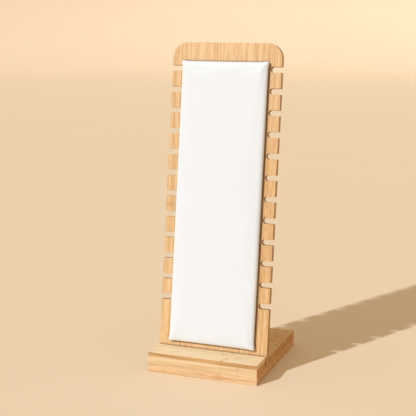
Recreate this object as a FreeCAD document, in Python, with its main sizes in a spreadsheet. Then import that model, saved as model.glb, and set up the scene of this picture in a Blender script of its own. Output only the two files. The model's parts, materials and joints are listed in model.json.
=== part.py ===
import FreeCAD, Part
import Sketcher
import math
import os

# Bamboo necklace display board.
# A slotted bamboo base carries a notched backboard that leans back, with a padded
# leatherette panel glued to its front.
# Frame: +X to the right, -Y to the front, +Z up, origin at the middle of the base's underside.
# The backboard and the pad are drawn upright in a frame of their own, whose origin is the middle of
# the backboard's lower front edge, and then leaned back into the slot. The slot is open at both
# ends, and the backboard stands a little to the right in it.

SIZES = {
    # base
    "base_width": 112.0,
    "base_depth": 125.0,
    "bottom_layer": 7.5,
    "slot_layer": 8.5,
    "lip_rise": 4.0,
    "lip_depth": 26.0,
    "slot_depth": 8.1,
    "slot_play": 0.1,
    "corner_ease": 0.8,
    "edge_ease": 0.5,
    # backboard
    "lean": 8.0,
    "board_shift": 1.0,
    "board_width": 112.0,
    "board_reach": 300.0,
    "board_thick": 6.0,
    "board_corner": 15.0,
    "board_ease": 0.3,
    # side notches
    "notch_count": 12,
    "notch_pitch": 20.6,
    "notch_first": 25.2,
    "notch_depth": 11.0,
    "notch_width": 5.5,
    "notch_overrun": 5.0,
    # padded panel
    "pad_width": 87.6,
    "pad_length": 276.0,
    "pad_top_gap": 18.5,
    "pad_corner": 3.0,
    "pad_rim": 2.0,
    "skin": 0.8,
    "hem_width": 10.0,
    "backing_thick": 2.0,
    "foam_thick": 2.4,
}

# Expressions that several sub-parts share.
LEAN = "(Sizes.lean * 1 deg)"
FRONT_HEIGHT = "(Sizes.bottom_layer + Sizes.slot_layer + Sizes.lip_rise)"
SLOT_FRONT = "(Sizes.lip_depth - Sizes.base_depth / 2)"
SLOT_WIDTH = "(Sizes.board_thick + 2 * Sizes.slot_play)"
BOARD_LENGTH = "(Sizes.slot_depth + Sizes.board_reach)"
PAD_TOP = f"({BOARD_LENGTH} - Sizes.pad_top_gap)"
PAD_THICK = "(2 * Sizes.skin + Sizes.backing_thick + Sizes.foam_thick)"

START, END, CENTRE = 1, 2, 3
ORIGIN, V_AXIS = -1, -2
TINY = 1e-4

doc = FreeCAD.newDocument("NecklaceBoard")
sheet = doc.addObject("Spreadsheet::Sheet", "Sizes")
for row, (alias, value) in enumerate(SIZES.items(), start=1):
    sheet.set(f"A{row}", alias)
    sheet.set(f"B{row}", str(value))
    sheet.setAlias(f"B{row}", alias)
doc.recompute()


# ---------------------------------------------------------------- helpers

def new_body(name):
    """A PartDesign body whose label is the node's name."""
    body = doc.addObject("PartDesign::Body", name)
    body.Label = name
    return body


def sketch_on(body, role, name, shift=None):
    """A sketch on one of the body's own origin planes, moved along the plane's normal by shift."""
    sketch = body.newObject("Sketcher::SketchObject", name)
    plane = next(item for item in body.Origin.OriginFeatures if item.Role == role)
    sketch.AttachmentSupport = [(plane, "")]
    sketch.MapMode = "FlatFace"
    if shift:
        sketch.setExpression("AttachmentOffset.Base.z", shift)
    return sketch


def bind(sketch, kind, places, name, formula, guess):
    """A named dimension of the sketch, driven by a formula on the sheet."""
    index = sketch.addConstraint(Sketcher.Constraint(kind, *places, guess))
    sketch.renameConstraint(index, name)
    sketch.setExpression(f"Constraints.{name}", formula)


def add_polygon(sketch, points):
    """A closed chain of lines, joined end to start."""
    first = sketch.GeometryCount
    corners = [FreeCAD.Vector(x, y, 0) for x, y in points]
    for corner, following in zip(corners, corners[1:] + corners[:1]):
        sketch.addGeometry(Part.LineSegment(corner, following))
    count = len(corners)
    for step in range(count):
        ends = (first + step, END, first + (step + 1) % count, START)
        sketch.addConstraint(Sketcher.Constraint("Coincident", *ends))
    return first


def add_rectangle(sketch, tag, width, height, bottom):
    """A rectangle centred on the sketch's vertical axis; its three sizes are formulas."""
    base = add_polygon(sketch, [(-20, 1), (20, 1), (20, 30), (-20, 30)])
    sketch.addConstraint(Sketcher.Constraint("Symmetric", base, START, base, END, V_AXIS))
    sketch.addConstraint(Sketcher.Constraint("Horizontal", base + 2))
    for line in (base + 1, base + 3):
        sketch.addConstraint(Sketcher.Constraint("Vertical", line))
    bind(sketch, "DistanceX", (base, START, base, END), f"{tag}_width", width, 40)
    bind(sketch, "DistanceY", (base + 1, START, base + 1, END), f"{tag}_height", height, 29)
    bind(sketch, "DistanceY", (ORIGIN, START, base, START), f"{tag}_bottom", bottom, 1)


def extrude(body, kind, sketch, name, length=None, reverse=False, midplane=False):
    """A Pad or a Pocket of the sketch; without a length it cuts right through."""
    feature = body.newObject(f"PartDesign::{kind}", name)
    feature.Profile = sketch
    feature.Reversed = reverse
    if midplane:
        feature.SideType = "Symmetric"
    if length:
        feature.setExpression("Length", length)
    else:
        feature.Type = "ThroughAll"
    doc.recompute()
    return feature


def ease(body, name, radius, picked):
    """Round the edges of the body's last feature that the test picks."""
    base = body.Tip
    names = [f"Edge{i}" for i, edge in enumerate(base.Shape.Edges, start=1) if picked(edge)]
    fillet = body.newObject("PartDesign::Fillet", name)
    fillet.Base = (base, names)
    fillet.setExpression("Radius", radius)
    doc.recompute()
    return fillet


def runs_along(edge, axis):
    """True for an edge whose two ends differ only along the axis (0, 1 or 2)."""
    box = edge.BoundBox
    spans = (box.XLength, box.YLength, box.ZLength)
    return spans[axis] > TINY and all(spans[i] < TINY for i in range(3) if i != axis)


def lies_at(edge, axis, level):
    """True for an edge that lies wholly at the level on the axis."""
    box = edge.BoundBox
    low = (box.XMin, box.YMin, box.ZMin)[axis]
    high = (box.XMax, box.YMax, box.ZMax)[axis]
    return abs(low - level) < TINY and abs(high - level) < TINY


def lean_back(body):
    """Lean a body drawn in the backboard's frame into the slot of the base."""
    tilt = FreeCAD.Rotation(FreeCAD.Vector(1, 0, 0), -1)
    body.Placement = FreeCAD.Placement(FreeCAD.Vector(), tilt)
    body.setExpression("Placement.Rotation.Angle", f"-{LEAN}")
    body.setExpression("Placement.Base.x", "Sizes.board_shift")
    body.setExpression(
        "Placement.Base.y",
        f"{SLOT_FRONT} - Sizes.slot_depth * sin({LEAN}) + Sizes.slot_play * cos({LEAN})",
    )
    body.setExpression(
        "Placement.Base.z",
        f"{FRONT_HEIGHT} - Sizes.slot_depth * cos({LEAN}) - Sizes.slot_play * sin({LEAN})",
    )


# ---------------------------------------------------------------- base

def make_layer(name, thick, bottom=None):
    """One full-size bamboo layer of the base, with its upright corners eased."""
    body = new_body(name)
    sketch = sketch_on(body, "XY_Plane", f"{name}_outline", bottom)
    add_rectangle(sketch, "layer", "Sizes.base_width", "Sizes.base_depth", "-Sizes.base_depth / 2")
    extrude(body, "Pad", sketch, f"{name}_block", thick)
    ease(body, f"{name}_corners", "Sizes.corner_ease", lambda edge: runs_along(edge, 2))
    return body


def make_bottom_layer():
    body = make_layer("base_bottom_layer", "Sizes.bottom_layer")
    ease(body, "underside_edges", "Sizes.edge_ease", lambda edge: lies_at(edge, 2, 0))
    return body


def make_slot_layer():
    """The upper layer, with the rear top edges eased and the leaning slot cut right across."""
    body = make_layer("base_slot_layer", "Sizes.slot_layer", "Sizes.bottom_layer")
    top = SIZES["bottom_layer"] + SIZES["slot_layer"]
    rear = SIZES["base_depth"] / 2
    ease(body, "rear_top_edge", "Sizes.edge_ease",
         lambda edge: lies_at(edge, 2, top) and lies_at(edge, 1, rear))
    sketch = sketch_on(body, "YZ_Plane", "slot_profile")
    wall = add_polygon(sketch, [(-36, 20), (-37, 12), (-31, 11), (-30, 19)])
    floor, rear_wall, mouth = wall + 1, wall + 2, wall + 3
    sketch.addConstraint(Sketcher.Constraint("Perpendicular", wall, floor))
    sketch.addConstraint(Sketcher.Constraint("Parallel", wall, rear_wall))
    sketch.addConstraint(Sketcher.Constraint("Parallel", floor, mouth))
    bind(sketch, "DistanceX", (ORIGIN, START, wall, START), "mouth_y", SLOT_FRONT, -36.5)
    bind(sketch, "DistanceY", (ORIGIN, START, wall, START), "mouth_z", FRONT_HEIGHT, 20)
    bind(sketch, "Distance", (wall, START, wall, END), "depth", "Sizes.slot_depth", 8.1)
    bind(sketch, "Distance", (floor, START, floor, END), "width", SLOT_WIDTH, 6.2)
    bind(sketch, "DistanceX", (wall, END, wall, START), "lean_run",
         f"Sizes.slot_depth * sin({LEAN})", 1.1)
    extrude(body, "Pocket", sketch, "slot", midplane=True)
    return body


def make_front_lip():
    """The strip in front of the slot; its rear face carries on the slot's leaning wall."""
    body = new_body("base_front_lip")
    sketch = sketch_on(body, "YZ_Plane", "lip_profile")
    foot = add_polygon(sketch, [(-62, 16), (-37, 16), (-36.5, 20), (-62, 20)])
    rear, top, front = foot + 1, foot + 2, foot + 3
    for line in (foot, top):
        sketch.addConstraint(Sketcher.Constraint("Horizontal", line))
    sketch.addConstraint(Sketcher.Constraint("Vertical", front))
    bind(sketch, "DistanceX", (ORIGIN, START, foot, START), "front_y",
         "-Sizes.base_depth / 2", -62.5)
    bind(sketch, "DistanceY", (ORIGIN, START, foot, START), "foot_z",
         "Sizes.bottom_layer + Sizes.slot_layer", 16)
    bind(sketch, "DistanceY", (rear, START, rear, END), "rise", "Sizes.lip_rise", 4)
    bind(sketch, "DistanceX", (ORIGIN, START, rear, END), "slot_y", SLOT_FRONT, -36.5)
    bind(sketch, "DistanceX", (rear, START, rear, END), "lean_run",
         f"Sizes.lip_rise * tan({LEAN})", 0.6)
    extrude(body, "Pad", sketch, "lip_bar", "Sizes.base_width", midplane=True)
    front_y = -SIZES["base_depth"] / 2
    height = SIZES["bottom_layer"] + SIZES["slot_layer"] + SIZES["lip_rise"]
    ease(body, "lip_corners", "Sizes.corner_ease",
         lambda edge: runs_along(edge, 2) and lies_at(edge, 1, front_y))
    ease(body, "lip_top_edges", "Sizes.edge_ease", lambda edge: lies_at(edge, 2, height))
    return body


# ---------------------------------------------------------------- backboard

def add_notch(sketch, side):
    """One open notch with a round inner end, on the right (side 1) or the left (side -1)."""
    tag = "right" if side > 0 else "left"
    x_end, x_out, y_mid, radius = side * 48, side * 60, 280, 2.5
    inner_high = FreeCAD.Vector(x_end, y_mid + radius, 0)
    outer_high = FreeCAD.Vector(x_out, y_mid + radius, 0)
    outer_low = FreeCAD.Vector(x_out, y_mid - radius, 0)
    inner_low = FreeCAD.Vector(x_end, y_mid - radius, 0)
    top = sketch.addGeometry(Part.LineSegment(inner_high, outer_high))
    mouth = sketch.addGeometry(Part.LineSegment(outer_high, outer_low))
    bottom = sketch.addGeometry(Part.LineSegment(outer_low, inner_low))
    circle = Part.Circle(FreeCAD.Vector(x_end, y_mid, 0), FreeCAD.Vector(0, 0, 1), radius)
    first_angle = side * math.pi / 2
    end = sketch.addGeometry(Part.ArcOfCircle(circle, first_angle, first_angle + math.pi))
    arc_top, arc_bottom = (START, END) if side > 0 else (END, START)
    for places in ((top, END, mouth, START), (mouth, END, bottom, START)):
        sketch.addConstraint(Sketcher.Constraint("Coincident", *places))
    sketch.addConstraint(Sketcher.Constraint("Tangent", top, START, end, arc_top))
    sketch.addConstraint(Sketcher.Constraint("Tangent", bottom, END, end, arc_bottom))
    for line in (top, bottom):
        sketch.addConstraint(Sketcher.Constraint("Horizontal", line))
    sketch.addConstraint(Sketcher.Constraint("Vertical", mouth))
    sign = "" if side > 0 else "-"
    inner = f"{sign}(Sizes.board_width / 2 - Sizes.notch_depth + Sizes.notch_width / 2)"
    outer = f"{sign}(Sizes.board_width / 2 + Sizes.notch_overrun)"
    bind(sketch, "Radius", (end,), f"{tag}_radius", "Sizes.notch_width / 2", radius)
    bind(sketch, "DistanceX", (ORIGIN, START, end, CENTRE), f"{tag}_end", inner, x_end)
    bind(sketch, "DistanceX", (ORIGIN, START, mouth, START), f"{tag}_mouth", outer, x_out)
    bind(sketch, "DistanceY", (ORIGIN, START, end, CENTRE), f"{tag}_level",
         f"{BOARD_LENGTH} - Sizes.notch_first", y_mid)


def make_backboard():
    body = new_body("backboard")
    outline = sketch_on(body, "XZ_Plane", "board_outline")
    add_rectangle(outline, "board", "Sizes.board_width", BOARD_LENGTH, "0")
    extrude(body, "Pad", outline, "board_blank", "Sizes.board_thick", reverse=True)
    length = SIZES["slot_depth"] + SIZES["board_reach"]
    ease(body, "board_corners", "Sizes.board_corner",
         lambda edge: runs_along(edge, 1) and lies_at(edge, 2, length))

    notch_pair = sketch_on(body, "XZ_Plane", "notch_pair")
    for side in (1, -1):
        add_notch(notch_pair, side)
    pocket = extrude(body, "Pocket", notch_pair, "top_notches")
    if pocket.Shape.Volume >= pocket.BaseFeature.Shape.Volume:
        raise RuntimeError("the notch pocket cuts nothing")

    pattern = body.newObject("PartDesign::LinearPattern", "notch_rows")
    pattern.Originals = [pocket]
    pattern.Direction = (notch_pair, ["V_Axis"])
    pattern.Reversed = True
    pattern.setExpression("Length", "Sizes.notch_pitch * (Sizes.notch_count - 1)")
    pattern.setExpression("Occurrences", "Sizes.notch_count")
    body.Tip = pattern
    doc.recompute()

    thick = SIZES["board_thick"]
    ease(body, "board_edges", "Sizes.board_ease",
         lambda edge: (lies_at(edge, 1, 0) or lies_at(edge, 1, thick)) and not lies_at(edge, 2, 0))
    lean_back(body)
    return body


# ---------------------------------------------------------------- padded panel

def pad_sheet(name, inset, lift, thick):
    """A rectangular sheet of the pad: inset from its outline, lifted off the backboard."""
    body = new_body(name)
    outline = sketch_on(body, "XZ_Plane", f"{name}_outline", lift)
    width = f"Sizes.pad_width - 2 * {inset}"
    length = f"Sizes.pad_length - 2 * {inset}"
    add_rectangle(outline, "sheet", width, length, f"{PAD_TOP} - Sizes.pad_length + {inset}")
    extrude(body, "Pad", outline, f"{name}_sheet", thick)
    return body


def pad_face(depth):
    """Where the pad's front face lies in the backboard's frame, or a surface that deep below it."""
    return depth - 2 * SIZES["skin"] - SIZES["backing_thick"] - SIZES["foam_thick"]


def round_sheet(body, tag, inset, face):
    """Round a sheet's corners and the rim of its front face, both less by its inset."""
    ease(body, f"{tag}_corners", f"(Sizes.pad_corner - {inset})", lambda edge: runs_along(edge, 1))
    ease(body, f"{tag}_rim", f"(Sizes.pad_rim - {inset})", lambda edge: lies_at(edge, 1, face))


def make_adhesive():
    body = pad_sheet("pad_adhesive", "(Sizes.skin + Sizes.hem_width)", None, "Sizes.skin")
    lean_back(body)
    return body


def make_backing():
    body = pad_sheet("pad_backing", "Sizes.skin", "Sizes.skin", "Sizes.backing_thick")
    ease(body, "backing_corners", "(Sizes.pad_corner - Sizes.skin)",
         lambda edge: runs_along(edge, 1))
    lean_back(body)
    return body


def make_foam():
    lift = "Sizes.skin + Sizes.backing_thick"
    body = pad_sheet("pad_foam", "Sizes.skin", lift, "Sizes.foam_thick")
    round_sheet(body, "foam", SIZES["skin"], pad_face(SIZES["skin"]))
    lean_back(body)
    return body


def make_cover():
    """The skin: a shallow tray over the foam and backing, closed behind by a hem all round."""
    filling = "(Sizes.backing_thick + Sizes.foam_thick)"
    hollow = pad_sheet("cover_hollow", "Sizes.skin", "Sizes.skin", filling)
    round_sheet(hollow, "hollow", SIZES["skin"], pad_face(SIZES["skin"]))
    window = pad_sheet("cover_window", "(Sizes.skin + Sizes.hem_width)", None, "Sizes.skin")
    body = pad_sheet("pad_cover", "0", None, PAD_THICK)
    round_sheet(body, "cover", 0, pad_face(0))
    skin = body.newObject("PartDesign::Boolean", "cover_skin")
    skin.Type = "Cut"
    skin.setObjects([hollow, window])
    doc.recompute()
    lean_back(body)
    return body


# ---------------------------------------------------------------- build, check and write

def main():
    nodes = [
        make_bottom_layer(),
        make_slot_layer(),
        make_front_lip(),
        make_backboard(),
        make_adhesive(),
        make_backing(),
        make_foam(),
        make_cover(),
    ]
    doc.recompute()
    for item in doc.Objects:
        if "Invalid" in item.State or "Error" in item.State:
            raise RuntimeError(f"{item.Name} failed: {item.State}")
    for node in nodes:
        if node.Shape.isNull() or not node.Shape.isValid() or len(node.Shape.Solids) != 1:
            raise RuntimeError(f"{node.Label} is not one valid solid")
    os.makedirs("parts", exist_ok=True)
    for node in nodes:
        box = node.Shape.BoundBox
        node.Shape.exportStep(f"parts/{node.Label}.step")
        print(f"{node.Label}: {node.Shape.Volume:.0f} mm3, y {box.YMin:.2f} to {box.YMax:.2f}, "
              f"z {box.ZMin:.2f} to {box.ZMax:.2f}")


main()
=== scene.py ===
import json
import math

import bmesh
import bpy
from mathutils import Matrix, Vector, noise


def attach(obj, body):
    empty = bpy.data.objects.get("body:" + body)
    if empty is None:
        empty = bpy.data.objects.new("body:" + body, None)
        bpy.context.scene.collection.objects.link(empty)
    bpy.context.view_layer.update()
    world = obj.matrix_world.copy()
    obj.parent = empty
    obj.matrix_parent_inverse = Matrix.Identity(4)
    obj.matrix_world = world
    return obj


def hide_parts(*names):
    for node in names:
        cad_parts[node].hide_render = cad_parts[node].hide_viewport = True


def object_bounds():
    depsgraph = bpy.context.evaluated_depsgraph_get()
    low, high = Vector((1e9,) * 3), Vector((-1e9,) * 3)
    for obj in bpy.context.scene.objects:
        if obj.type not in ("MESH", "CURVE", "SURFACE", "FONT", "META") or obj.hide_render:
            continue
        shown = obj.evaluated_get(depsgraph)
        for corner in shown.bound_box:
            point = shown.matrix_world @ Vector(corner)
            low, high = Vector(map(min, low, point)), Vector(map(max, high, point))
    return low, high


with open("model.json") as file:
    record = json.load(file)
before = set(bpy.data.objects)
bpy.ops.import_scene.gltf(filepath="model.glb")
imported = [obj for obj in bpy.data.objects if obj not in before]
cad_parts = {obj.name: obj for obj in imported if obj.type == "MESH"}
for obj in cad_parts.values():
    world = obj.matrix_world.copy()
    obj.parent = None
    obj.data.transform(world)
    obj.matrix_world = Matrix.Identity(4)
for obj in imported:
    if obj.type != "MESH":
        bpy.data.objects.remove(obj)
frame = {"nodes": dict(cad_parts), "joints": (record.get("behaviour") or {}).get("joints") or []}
cad_low, cad_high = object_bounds()
MM = 0.001

# ---------------------------------------------------------------- board frame
# ACROSS runs along the board's width, UP along its height, FRONT out of its face.
ACROSS = Vector((1.0, 0.0, 0.0))
UP = Vector(frame["joints"][0]["axis"]).normalized()
FRONT = ACROSS.cross(UP)
LEAN = math.atan2(UP.y, UP.z)


def span(node, direction):
    """Lowest and highest position of a CAD node's vertices along a direction."""
    reach = [v.co.dot(direction) for v in frame["nodes"][node].data.vertices]
    return min(reach), max(reach)


BOARD_FACE = span("backboard", FRONT)[1]
PAD_LOW, PAD_HIGH = span("pad_cover", UP)
PAD_LEFT, PAD_RIGHT = span("pad_cover", ACROSS)
PAD_MIDDLE = (PAD_LEFT + PAD_RIGHT) / 2
PAD_THICK = span("pad_cover", FRONT)[1] - BOARD_FACE


# ------------------------------------------------------------- shader helpers
class Shader:
    """A material's node tree, with one short call per node."""

    def __init__(self, name):
        self.material = bpy.data.materials.new(name)
        self.material.use_nodes = True
        self.tree = self.material.node_tree
        self.bsdf = self.tree.nodes["Principled BSDF"]

    def add(self, kind, settings=None, **inputs):
        made = self.tree.nodes.new(kind)
        for key, value in (settings or {}).items():
            setattr(made, key, value)
        for key, value in inputs.items():
            self.put(made.inputs[key.replace("_", " ")], value)
        return made

    def put(self, socket, value):
        if isinstance(value, bpy.types.NodeSocket):
            self.tree.links.new(value, socket)
        else:
            socket.default_value = value

    def math(self, operation, first, second=0.0, third=0.0, clamp=False):
        made = self.tree.nodes.new("ShaderNodeMath")
        made.operation = operation
        made.use_clamp = clamp
        for socket, value in zip(made.inputs, (first, second, third)):
            self.put(socket, value)
        return made.outputs[0]

    def vector(self, x, y, z):
        return self.add("ShaderNodeCombineXYZ", X=x, Y=y, Z=z).outputs[0]

    def noise(self, vector, scale, detail=2.0, rough=0.5):
        made = self.add("ShaderNodeTexNoise", Vector=vector, Scale=scale,
                        Detail=detail, Roughness=rough)
        return made.outputs[0]

    def random(self, x, y):
        made = self.add("ShaderNodeTexWhiteNoise", Vector=self.vector(x, y, 0.0))
        return made.outputs[0]

    def ramp(self, value, low, high):
        """A smooth step: 0 at low and 1 at high, also where low is the larger."""
        made = self.add("ShaderNodeMapRange", Value=value)
        made.interpolation_type = "SMOOTHSTEP"
        made.inputs["From Min"].default_value = low
        made.inputs["From Max"].default_value = high
        return made.outputs[0]

    def mix(self, factor, first, second):
        made = self.tree.nodes.new("ShaderNodeMix")
        made.data_type = "RGBA"
        self.put(made.inputs[0], factor)
        self.put(made.inputs[6], first)
        self.put(made.inputs[7], second)
        return made.outputs[2]

    def layer(self, under, mask, strength, over):
        """Lays a second colour over the first where the mask is 1."""
        return self.mix(self.math("MULTIPLY", mask, strength), under, over)

    def bump(self, height, strength, distance):
        made = self.add("ShaderNodeBump", Height=height, Strength=strength,
                        Distance=distance)
        self.put(self.bsdf.inputs["Normal"], made.outputs[0])

    def set(self, **inputs):
        for key, value in inputs.items():
            self.put(self.bsdf.inputs[key.replace("_", " ")], value)


def tinted(tone, red, green, blue):
    """A tone with each of its channels scaled, and none above 1."""
    scaled = [min(1.0, v * factor) for v, factor in zip(tone, (red, green, blue))]
    return tuple(scaled) + (1.0,)


def dress(node, material):
    """Gives a CAD node one material in every slot."""
    mesh = frame["nodes"][node].data
    if not mesh.materials:
        mesh.materials.append(material)
    for index in range(len(mesh.materials)):
        mesh.materials[index] = material


# -------------------------------------------------------------------- bamboo
NODE_PERIOD = 0.235         # length of culm from one node mark to the next
GLUE_WIDTH = 0.16 * MM
COARSE_SHARE = 0.55         # what the streaks and the broad patches add to a
BROAD_SHARE = 0.2           # strip's tone, beside tone_share
SINGED_TONES = ((0.42, 0.18, 0.045, 1.0), (0.27, 0.11, 0.025, 1.0))
# Painted shade in close gaps: how far its occlusion looks, and the deep brown it paints.
PAINTED_SHADE_REACH = 3.5 * MM
PAINTED_SHADE_TONE = (0.13, 0.045, 0.008, 1.0)


def bamboo(name, grain, across, pale, deep, strip, seed, node_at, scatter,
           edge_tone=None, tone_share=0.4, singed_and_painted_shade=0.0, lean=0.0):
    """Laminated bamboo.

    grain and across name the axes that the fibres run along and that the strips
    lie side by side along. Each strip has its own tone, fine fibres, a thin glue
    line, and a node mark once in every NODE_PERIOD, within half the scatter of
    node_at. A nonzero singe strength browns the profile cuts and also paints shade
    into close gaps. edge_tone gives the face that looks to the front two tones of
    its own. lean turns the axes back for a piece that leans.
    """
    s = Shader(name)
    place = s.add("ShaderNodeTexCoord")
    turned = s.add("ShaderNodeMapping", Vector=place.outputs["Object"],
                   Rotation=(lean, 0.0, 0.0)).outputs[0]
    axes = dict(zip("XYZ", s.add("ShaderNodeSeparateXYZ", Vector=turned).outputs))
    along = axes[grain]
    side = axes[across]
    deepness = axes[next(a for a in "XYZ" if a not in (grain, across))]

    # Strips: the number of each, its place between its own glue lines, its tone.
    # The 50 here and the 20 below keep both counts above zero.
    count = s.math("ADD", s.math("DIVIDE", side, strip), 50.0)
    number = s.math("FLOOR", count)
    within = s.math("FRACT", count)
    tone = s.random(number, seed)
    shift = s.random(number, seed + 7.0)
    edge = s.math("ABSOLUTE", s.math("SUBTRACT", within, 0.5))
    glue = s.ramp(edge, 0.5 - GLUE_WIDTH / strip, 0.5)

    def streaks(rates, detail, rough=0.5, offset=0.0):
        """Noise drawn out by its rates across, along and into the wood."""
        wide, long, deep_in = rates
        return s.noise(s.vector(s.math("MULTIPLY", side, wide),
                                s.math("MULTIPLY_ADD", along, long, offset),
                                s.math("MULTIPLY", deepness, deep_in)),
                       1.0, detail, rough)

    # Fibres: long thin streaks at two sizes, and pores that show as dashes.
    drift = s.math("MULTIPLY", number, 0.37)
    coarse = streaks((1050.0, 14.0, 420.0), 3.0, 0.6, drift)
    fine = streaks((1700.0, 80.0, 1700.0), 3.0, 0.65, drift)
    pores = s.ramp(streaks((3800.0, 210.0, 3800.0), 1.0), 0.62, 0.74)
    broad = streaks((240.0, 3.0, 240.0), 1.0)

    # Node marks: where a strip's culm had its joint, a short ridge that the
    # fibres bend through, with a darker, redder core. It lies where FRACT is 0.5.
    run = s.math("ADD", s.math("DIVIDE", along, NODE_PERIOD),
                 s.math("MULTIPLY_ADD", s.math("SUBTRACT", shift, 0.5),
                        scatter / NODE_PERIOD, 20.5 - node_at / NODE_PERIOD))
    away = s.math("MULTIPLY", s.math("SUBTRACT", s.math("FRACT", run), 0.5),
                  NODE_PERIOD)
    present = s.ramp(s.random(s.math("FLOOR", run), s.math("ADD", number, seed)),
                     0.12, 0.3)
    bend = s.math("MULTIPLY", s.math("SUBTRACT", coarse, 0.5), 5.0 * MM)
    near = s.math("ABSOLUTE", s.math("ADD", away, bend))
    halo = s.math("SUBTRACT", 1.0, s.ramp(near, 0.6 * MM, 6.0 * MM))
    core = s.math("SUBTRACT", 1.0, s.ramp(near, 0.15 * MM, 1.3 * MM))
    broken = s.ramp(fine, 0.35, 0.62)
    core = s.math("MULTIPLY", s.math("MULTIPLY", core, broken), present)
    halo = s.math("MULTIPLY", halo, present)

    # Colour: the shares of tone together keep the mean halfway from pale to deep.
    dark = s.math("ADD", s.math("MULTIPLY", tone, tone_share),
                  s.math("MULTIPLY", s.ramp(coarse, 0.36, 0.64), COARSE_SHARE))
    dark = s.math("ADD", dark,
                  s.math("MULTIPLY", s.ramp(broad, 0.35, 0.65), BROAD_SHARE))
    level = 0.5 - tone_share / 2 - COARSE_SHARE / 2 - BROAD_SHARE / 2
    colour = s.mix(s.math("ADD", dark, level, clamp=True), pale, deep)
    fibres = s.ramp(fine, 0.42, 0.70)
    for mask, strength, tint in ((fibres, 0.46, (0.72, 0.66, 0.58)),
                                 (pores, 0.34, (0.5, 0.42, 0.34)),
                                 (glue, 0.45, (0.55, 0.45, 0.34)),
                                 (halo, 0.24, (0.85, 0.66, 0.5)),
                                 (core, 0.62, (0.55, 0.34, 0.22))):
        colour = s.layer(colour, mask, strength, tinted(deep, *tint))

    # End grain: blotches, and the cut fibre bundles that show as close dark dots.
    facing = s.add("ShaderNodeMapping", Vector=place.outputs["Normal"],
                   Rotation=(lean, 0.0, 0.0)).outputs[0]
    normal = dict(zip("XYZ", s.add("ShaderNodeSeparateXYZ", Vector=facing).outputs))
    cut = s.ramp(s.math("ABSOLUTE", normal[grain]), 0.6, 0.9)
    bundle = s.add("ShaderNodeTexVoronoi",
                   Vector=s.vector(side, deepness, 0.0), Scale=1500.0)
    dots = s.math("SUBTRACT", 1.0, s.ramp(bundle.outputs["Distance"], 0.12, 0.42))
    thick = s.ramp(s.noise(s.vector(side, deepness, 0.0), 260.0, 2.0), 0.4, 0.62)
    dots = s.math("MULTIPLY", dots, s.math("ADD", s.math("MULTIPLY", thick, 0.6), 0.4))
    blotch = s.noise(s.vector(side, s.math("MULTIPLY", deepness, 1.6), seed),
                     210.0, 3.0, 0.6)
    sawn = tinted(deep, 1.0, 0.95, 0.86)
    for mask, strength, tint in ((tone, 0.5, (0.82, 0.74, 0.62)),
                                 (s.ramp(blotch, 0.42, 0.66), 0.5, (0.55, 0.46, 0.4)),
                                 (s.ramp(blotch, 0.55, 0.36), 0.4, (1.35, 1.4, 1.5)),
                                 (dots, 0.6, (0.42, 0.3, 0.2)),
                                 (glue, 0.35, (0.5, 0.38, 0.26))):
        sawn = s.layer(sawn, mask, strength, tinted(deep, *tint))
    colour = s.mix(cut, colour, sawn)

    # Profile cuts that the tool has browned: every face but the two broad ones.
    if singed_and_painted_shade:
        broad_face = s.math("ABSOLUTE", normal["Y"])
        cuts = s.math("SUBTRACT", 1.0, s.ramp(broad_face, 0.3, 0.7))
        brown = s.mix(s.ramp(coarse, 0.3, 0.7), *SINGED_TONES)
        colour = s.layer(colour, cuts, singed_and_painted_shade, brown)
        # Painted shade: where another piece stands close, an ambient-occlusion mask darkens the
        # colour to a deep brown.
        open_sky = s.add("ShaderNodeAmbientOcclusion", {"samples": 12},
                         Distance=PAINTED_SHADE_REACH).outputs["AO"]
        painted_crevice_shade = s.math("SUBTRACT", 1.0, s.ramp(open_sky, 0.42, 0.93))
        colour = s.layer(colour, painted_crevice_shade, 0.9, PAINTED_SHADE_TONE)

    # The face that looks to the front takes two tones of its own.
    if edge_tone:
        front = s.ramp(s.math("MULTIPLY", normal["Y"], -1.0), 0.55, 0.85)
        facade = s.mix(s.ramp(coarse, 0.3, 0.7), *edge_tone)
        facade = s.layer(facade, core, 0.7, tinted(edge_tone[1], 0.4, 0.4, 0.4))
        colour = s.mix(front, colour, facade)

    rough = s.math("ADD", s.math("MULTIPLY", fine, 0.16),
                   s.math("ADD", s.math("MULTIPLY", cut, 0.18), 0.36))
    height = s.math("ADD", s.math("MULTIPLY", fine, 0.5),
                    s.math("MULTIPLY", coarse, 0.5))
    height = s.math("SUBTRACT", height, s.math("MULTIPLY", glue, 0.7))
    height = s.math("SUBTRACT", height, s.math("MULTIPLY", pores, 0.4))
    height = s.math("ADD", height, s.math("MULTIPLY", halo, 0.8))
    height = s.math("SUBTRACT", height,
                    s.math("MULTIPLY", s.math("MULTIPLY", dots, cut), 0.8))
    s.bump(height, 0.35, 0.12 * MM)
    s.set(Base_Color=colour, Roughness=rough, Coat_Weight=0.12, Coat_Roughness=0.35)
    return s.material


# Pale and deep tones of each piece of bamboo, linear RGB. An EDGE pair is for the
# face that looks to the front.
BOARD_PALE = (0.92, 0.665, 0.375, 1.0)
BOARD_DEEP = (0.60, 0.33, 0.122, 1.0)
MIDDLE_PALE = (0.95, 0.60, 0.21, 1.0)
MIDDLE_DEEP = (0.58, 0.29, 0.08, 1.0)
MIDDLE_EDGE = ((0.81, 0.61, 0.37, 1.0), (0.61, 0.39, 0.19, 1.0))
BOTTOM_PALE = (0.89, 0.655, 0.39, 1.0)
BOTTOM_DEEP = (0.645, 0.39, 0.187, 1.0)
LIP_PALE = (0.97, 0.82, 0.57, 1.0)
LIP_DEEP = (0.88, 0.62, 0.34, 1.0)
LIP_EDGE = ((0.65, 0.39, 0.16, 1.0), (0.44, 0.235, 0.085, 1.0))

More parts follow.
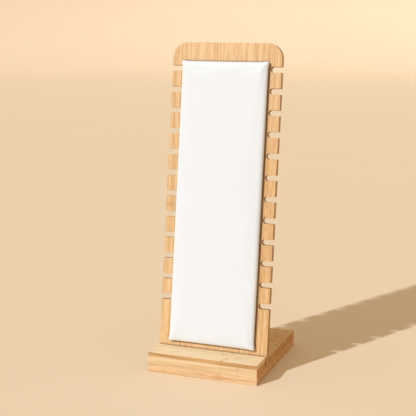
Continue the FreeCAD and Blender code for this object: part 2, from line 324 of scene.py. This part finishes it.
dress("backboard",
      bamboo("bamboo_board_grain", "Z", "X", BOARD_PALE, BOARD_DEEP, strip=5.6 * MM,
             seed=3.0, node_at=0.150, scatter=0.07, tone_share=0.16, singed_and_painted_shade=0.85,
             lean=LEAN))
dress("base_slot_layer",
      bamboo("bamboo_middle_grain", "X", "Y", MIDDLE_PALE, MIDDLE_DEEP,
             strip=5.0 * MM, seed=11.0, node_at=0.046, scatter=0.03,
             edge_tone=MIDDLE_EDGE, tone_share=0.75))
dress("base_bottom_layer",
      bamboo("bamboo_bottom_grain", "X", "Y", BOTTOM_PALE, BOTTOM_DEEP,
             strip=5.0 * MM, seed=23.0, node_at=0.016, scatter=0.02))
dress("base_front_lip",
      bamboo("bamboo_lip_grain", "X", "Y", LIP_PALE, LIP_DEEP, strip=5.2 * MM,
             seed=31.0, node_at=0.024, scatter=0.02, edge_tone=LIP_EDGE))


# ------------------------------------------------- backing board and adhesive
def fibreboard():
    s = Shader("pressed_fibreboard")
    place = s.add("ShaderNodeTexCoord").outputs["Object"]
    flakes = s.noise(place, 900.0, 4.0, 0.7)
    patches = s.noise(place, 60.0, 2.0)
    colour = s.mix(s.ramp(flakes, 0.35, 0.65), (0.30, 0.19, 0.10, 1.0),
                   (0.42, 0.29, 0.17, 1.0))
    colour = s.layer(colour, patches, 0.35, (0.34, 0.23, 0.14, 1.0))
    s.bump(flakes, 0.4, 0.1 * MM)
    s.set(Base_Color=colour, Roughness=s.math("MULTIPLY_ADD", flakes, 0.2, 0.7))
    return s.material


def film():
    s = Shader("adhesive_film")
    place = s.add("ShaderNodeTexCoord").outputs["Object"]
    bubbles = s.add("ShaderNodeTexVoronoi", Vector=place, Scale=420.0)
    spots = s.math("SUBTRACT", 1.0, s.ramp(bubbles.outputs["Distance"], 0.1, 0.35))
    colour = s.mix(spots, (0.78, 0.78, 0.75, 1.0), (0.88, 0.88, 0.86, 1.0))
    s.bump(spots, 0.3, 0.05 * MM)
    s.set(Base_Color=colour, Roughness=s.math("MULTIPLY_ADD", spots, 0.15, 0.3))
    return s.material


dress("pad_backing", fibreboard())
dress("pad_adhesive", film())


# ------------------------------------------------------------------------ pad
def graded(low, high, rims, cell):
    """Positions from low to high: close lines at both ends, even cells between."""
    inner_low = low + rims[-1]
    inner_high = high - rims[-1]
    cells = max(2, round((inner_high - inner_low) / cell))
    middle = [inner_low + (inner_high - inner_low) * i / cells
              for i in range(cells + 1)]
    return [low + r for r in rims[:-1]] + middle + [high - r for r in rims[-2::-1]]


RIM_WIDTH = 6.0 * MM        # width of the rim that rolls over
WIDEST = 3.2 * MM           # height of the widest line above the board
TUCK = 1.4 * MM             # how far the back edge draws in
TUCK_POWER = 6              # more keeps the tuck closer to the board
RIM_POWER = 2.3             # 2 is a round rim, more is squarer
CORNER_POWER = 7.0          # the same for the outline's corners
FLARE = 1.2 * MM            # how far the fabric stands out at a corner
FLARE_REACH = 6.0 * MM      # how near the corner it does so
FLARE_FALL = 2.2            # how fast that fades with distance
FLARE_LENGTHWISE = 0.8      # its share along the board
CROWN = 0.45 * MM           # rise of the front's middle
SLACK = 0.16 * MM           # unevenness of the front
SLACK_RATES = (38.0, 22.0)  # its steps per metre, across and along
FRONT_FROM = 0.55           # share of the height where the front begins
START_DROP = 0.1 * MM       # the start shape is thinner than the CAD pad,
BOTTOM_INSET = 0.3 * MM     # starts higher up,
OFF_CENTRE = -0.45 * MM     # and sits to the left of its middle
RIMS = [r * MM for r in (0.0, 1.2, 2.4, 3.6, 4.8, 6.0, 8.2)]
CELL = 3.4 * MM             # spacing of the grid inside the rim's own lines
SAME_LEVEL = 0.05 * MM      # heights that differ by less are the same
SIDE_HELD = 0.97            # how firmly the side is held, up to WIDEST
CLOTH_FRAMES = 20
CLOTH_REACH = 0.25 * MM     # the cloth moves no point further than this


def superellipse(first, second, wide, tall):
    """How far a direction must be stretched to end on the superellipse."""
    size = (abs(first) / wide) ** RIM_POWER + (abs(second) / tall) ** RIM_POWER
    return size ** (-1 / RIM_POWER)


def rounded(a, b, h, half_a, low_b, high_b, top):
    """Moves a point of a box's surface onto a pad of the same size.

    The front rolls over softly to the widest line, and behind it the side tucks in
    again.
    """
    core_a = max(-half_a + RIM_WIDTH, min(half_a - RIM_WIDTH, a))
    core_b = max(low_b + RIM_WIDTH, min(high_b - RIM_WIDTH, b))
    da, db, dh = a - core_a, b - core_b, h - WIDEST
    plan = (abs(da) ** CORNER_POWER + abs(db) ** CORNER_POWER) ** (1 / CORNER_POWER)
    if plan < 1e-9:
        return a, b, h
    if dh >= 0:
        scale = superellipse(plan, dh, RIM_WIDTH, top - WIDEST)
        return core_a + da * scale, core_b + db * scale, WIDEST + dh * scale
    tucked = TUCK * (-dh / WIDEST) ** TUCK_POWER / RIM_WIDTH
    shrink = min(plan, RIM_WIDTH) / plan * (1 - tucked)
    return core_a + da * shrink, core_b + db * shrink, h


def box_surface(lines_a, lines_b, lines_h):
    """A closed box of quads with its lines at the given positions."""
    bm = bmesh.new()
    made = {}

    def corner(i, j, k):
        if (i, j, k) not in made:
            made[i, j, k] = bm.verts.new((lines_a[i], lines_b[j], lines_h[k]))
        return made[i, j, k]

    last_a, last_b, last_h = len(lines_a) - 1, len(lines_b) - 1, len(lines_h) - 1
    for i in range(last_a):
        for j in range(last_b):
            for k in (0, last_h):
                bm.faces.new([corner(i, j, k), corner(i + 1, j, k),
                              corner(i + 1, j + 1, k), corner(i, j + 1, k)])
    for k in range(last_h):
        for i in range(last_a):
            for j in (0, last_b):
                bm.faces.new([corner(i, j, k), corner(i + 1, j, k),
                              corner(i + 1, j, k + 1), corner(i, j, k + 1)])
        for j in range(last_b):
            for i in (0, last_a):
                bm.faces.new([corner(i, j, k), corner(i, j + 1, k),
                              corner(i, j + 1, k + 1), corner(i, j, k + 1)])
    bmesh.ops.recalc_face_normals(bm, faces=bm.faces)
    return bm


def in_frame(a, b, h):
    """A pad point in the shared frame: h stands off the board's front face."""
    return ACROSS * (PAD_MIDDLE + OFF_CENTRE + a) + UP * b + FRONT * (BOARD_FACE + h)


def corner_pull(a, b, half_a, low_b, high_b):
    """How far a point is from the nearest corner, and the way out of it."""
    side_a = 1.0 if a > 0 else -1.0
    mid = (low_b + high_b) / 2
    side_b = 1.0 if b > mid else -1.0
    edge_b = high_b if b > mid else low_b
    return math.hypot(a - side_a * half_a, b - edge_b), side_a, side_b


def simulate(piece, pins):
    """Where Blender's cloth, under pressure, moves the piece's vertices."""
    group = piece.vertex_groups.new(name="held")
    for index, weight in pins.items():
        group.add([index], weight, "REPLACE")
    cloth = piece.modifiers.new("cloth", "CLOTH")
    settings = cloth.settings
    settings.quality = 6
    settings.mass = 0.25
    settings.tension_stiffness = 25.0
    settings.compression_stiffness = 25.0
    settings.shear_stiffness = 8.0
    settings.bending_stiffness = 2.0
    settings.use_pressure = True
    settings.uniform_pressure_force = 2.0
    settings.vertex_group_mass = "held"
    settings.effector_weights.gravity = 0.0
    cloth.collision_settings.use_collision = False
    cloth.point_cache.frame_start = 1
    cloth.point_cache.frame_end = CLOTH_FRAMES
    for step in range(1, CLOTH_FRAMES + 1):
        bpy.context.scene.frame_set(step)
    graph = bpy.context.evaluated_depsgraph_get()
    settled = piece.evaluated_get(graph).to_mesh()
    result = [v.co.copy() for v in settled.vertices]
    piece.evaluated_get(graph).to_mesh_clear()
    piece.modifiers.remove(cloth)
    piece.vertex_groups.clear()
    bpy.context.scene.frame_set(1)
    return result


def make_pad():
    """The padded cover: a soft box, inflated a little, with slack and a crown."""
    half = (PAD_RIGHT - PAD_LEFT) / 2
    low, high = PAD_LOW + BOTTOM_INSET, PAD_HIGH
    middle, half_long = (low + high) / 2, (high - low) / 2
    top = PAD_THICK - START_DROP
    bm = box_surface(graded(-half, half, RIMS, CELL), graded(low, high, RIMS, CELL),
                     [0.0, 0.5 * MM, 1.1 * MM, WIDEST, WIDEST + (top - WIDEST) / 3,
                      WIDEST + (top - WIDEST) * 2 / 3, top])
    pins = {}
    for index, v in enumerate(bm.verts):
        a, b, h = v.co
        if h < SAME_LEVEL:
            pins[index] = 1.0
        elif h < WIDEST + SAME_LEVEL:
            pins[index] = SIDE_HELD
        v.co = rounded(a, b, h, half, low, high, top)
    mesh = bpy.data.meshes.new("leatherette_pad")
    bm.to_mesh(mesh)
    bm.free()
    pad = bpy.data.objects.new("leatherette_pad", mesh)
    bpy.context.scene.collection.objects.link(pad)

    start = [v.co.copy() for v in mesh.vertices]
    settled = simulate(pad, pins)
    for v, before, after in zip(mesh.vertices, start, settled):
        move = after - before
        if move.length > CLOTH_REACH:
            move = move.normalized() * CLOTH_REACH
        a, b, h = before + move
        away, side_a, side_b = corner_pull(before.x, before.y, half, low, high)
        # The fabric gathered at each corner stands out along the diagonal.
        flare = FLARE * math.exp(-((away / FLARE_REACH) ** 2) * FLARE_FALL)
        # Slight slackness of the fabric over the foam.
        lift = noise.noise(Vector((a * SLACK_RATES[0], b * SLACK_RATES[1], 3.1)))
        lift *= SLACK
        front = (before.z / top - FRONT_FROM) / (1 - FRONT_FROM)
        front = max(0.0, min(1.0, front))
        crown = CROWN * (1 - (before.x / half) ** 2)
        crown *= 1 - ((before.y - middle) / half_long) ** 6
        v.co = in_frame(a + side_a * flare, b + side_b * flare * FLARE_LENGTHWISE,
                        max(0.0, h + (lift + crown) * front))
    for polygon in mesh.polygons:
        polygon.use_smooth = True
    subdivision = pad.modifiers.new("subdivision", "SUBSURF")
    subdivision.levels = 1
    subdivision.render_levels = 1
    return pad


def leatherette():
    """White coated fabric with a fine pressed grain."""
    s = Shader("white_leatherette")
    place = s.add("ShaderNodeTexCoord").outputs["Object"]
    warp = s.noise(place, 320.0, 2.0)
    moved = s.add("ShaderNodeVectorMath", {"operation": "MULTIPLY_ADD"})
    for socket, value in zip(moved.inputs,
                             (s.vector(warp, warp, warp), (0.6 * MM,) * 3, place)):
        s.put(socket, value)
    grain = s.add("ShaderNodeTexVoronoi", {"feature": "DISTANCE_TO_EDGE"},
                  Vector=moved.outputs[0], Scale=1250.0)
    pebble = s.ramp(grain.outputs["Distance"], 0.0, 0.22)
    micro = s.noise(place, 5200.0, 2.0)
    cloudy = s.noise(place, 16.0, 3.0)
    colour = s.mix(s.ramp(cloudy, 0.3, 0.7), (0.765, 0.81, 0.87, 1.0),
                   (0.75, 0.795, 0.855, 1.0))
    # Painted shade: the creases between the grain's pebbles are a little greyer.
    colour = s.layer(colour, s.math("SUBTRACT", 1.0, pebble), 0.16,
                     (0.66, 0.65, 0.64, 1.0))
    height = s.math("ADD", pebble, s.math("MULTIPLY", micro, 0.3))
    s.bump(height, 0.22, 0.07 * MM)
    s.set(Base_Color=colour, Roughness=s.math("MULTIPLY_ADD", micro, 0.12, 0.5))
    return s.material


pad = make_pad()
pad.data.materials.append(leatherette())
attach(pad, "display_board")
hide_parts("pad_cover", "pad_foam")


# ---------------------------------------------------------------------- stage
def make_floor():
    """A round pale floor that curves up into a low rim far from the object."""
    flat, bend, rise = 5.0, 1.2, 0.8
    section = [(0.6, 0.0), (2.0, 0.0), (flat, 0.0)]
    section += [(flat + bend * math.sin(t), bend * (1 - math.cos(t)))
                for t in [math.pi / 2 * i / 12 for i in range(1, 13)]]
    section.append((flat + bend, bend + rise))
    around = 96
    bm = bmesh.new()
    rings = []
    for radius, height in section:
        rings.append([bm.verts.new((radius * math.cos(math.tau * i / around),
                                    radius * math.sin(math.tau * i / around),
                                    height)) for i in range(around)])
    bm.faces.new(rings[0])
    for inner, outer in zip(rings, rings[1:]):
        for i in range(around):
            j = (i + 1) % around
            bm.faces.new([inner[i], outer[i], outer[j], inner[j]])
    mesh = bpy.data.meshes.new("studio_floor")
    bm.to_mesh(mesh)
    bm.free()
    for polygon in mesh.polygons:
        polygon.use_smooth = True
    floor = bpy.data.objects.new("studio_floor", mesh)
    floor.location.z = cad_low.z - 0.02 * MM
    bpy.context.scene.collection.objects.link(floor)
    s = Shader("plain_pale_floor")
    place = s.add("ShaderNodeTexCoord").outputs["Object"]
    s.set(Base_Color=s.mix(s.noise(place, 3.0, 2.0), (0.84, 0.67, 0.48, 1.0),
                           (0.86, 0.69, 0.50, 1.0)), Roughness=0.85)
    mesh.materials.append(s.material)
    return floor


make_floor()

SUN_FROM = Vector((-0.41, -0.72, 0.56)).normalized()
sun_data = bpy.data.lights.new("studio_key", "SUN")
sun_data.energy = 2.8
sun_data.angle = math.radians(1.6)
sun_data.color = (0.83, 0.915, 1.0)
sun = bpy.data.objects.new("studio_key", sun_data)
sun.rotation_mode = "QUATERNION"
sun.rotation_quaternion = SUN_FROM.to_track_quat("Z", "Y")
bpy.context.scene.collection.objects.link(sun)

world = bpy.data.worlds.new("studio_fill")
bpy.context.scene.world = world
world.use_nodes = True
sky = world.node_tree
sky_place = sky.nodes.new("ShaderNodeTexCoord")
sky_axes = sky.nodes.new("ShaderNodeSeparateXYZ")
sky_tones = sky.nodes.new("ShaderNodeValToRGB")
sky.links.new(sky_place.outputs["Generated"], sky_axes.inputs[0])
sky.links.new(sky_axes.outputs["Z"], sky_tones.inputs[0])
sky.links.new(sky_tones.outputs[0], sky.nodes["Background"].inputs["Color"])
sky_tones.color_ramp.elements[0].color = (0.62, 0.49, 0.31, 1.0)
sky_tones.color_ramp.elements[1].color = (1.0, 0.86, 0.64, 1.0)
sky.nodes["Background"].inputs["Strength"].default_value = 0.62
bpy.context.scene.view_settings.view_transform = "Standard"

# --------------------------------------------------------------------- camera
YAW = math.radians(20.88)
PITCH = math.radians(10.08)
DISTANCE = 0.96123
AIM = Vector((-0.01705, 0.0, 0.17222))
LENS_PIXELS = 967.23
FRAME_PIXELS = 416
SENSOR = 36.0
RAISED_PIXELS = 18.0

look = Vector((-math.sin(YAW) * math.cos(PITCH), math.cos(YAW) * math.cos(PITCH),
               -math.sin(PITCH)))
camera_data = bpy.data.cameras.new("photo_view")
camera_data.sensor_width = SENSOR
camera_data.lens = LENS_PIXELS / FRAME_PIXELS * SENSOR
camera_data.shift_y = -RAISED_PIXELS / FRAME_PIXELS
camera_data.clip_start = 0.01
camera_data.clip_end = 100.0
camera = bpy.data.objects.new("photo_view", camera_data)
camera.location = AIM - look * DISTANCE
camera.rotation_mode = "QUATERNION"
camera.rotation_quaternion = look.to_track_quat("-Z", "Y")
bpy.context.scene.collection.objects.link(camera)
bpy.context.scene.camera = camera
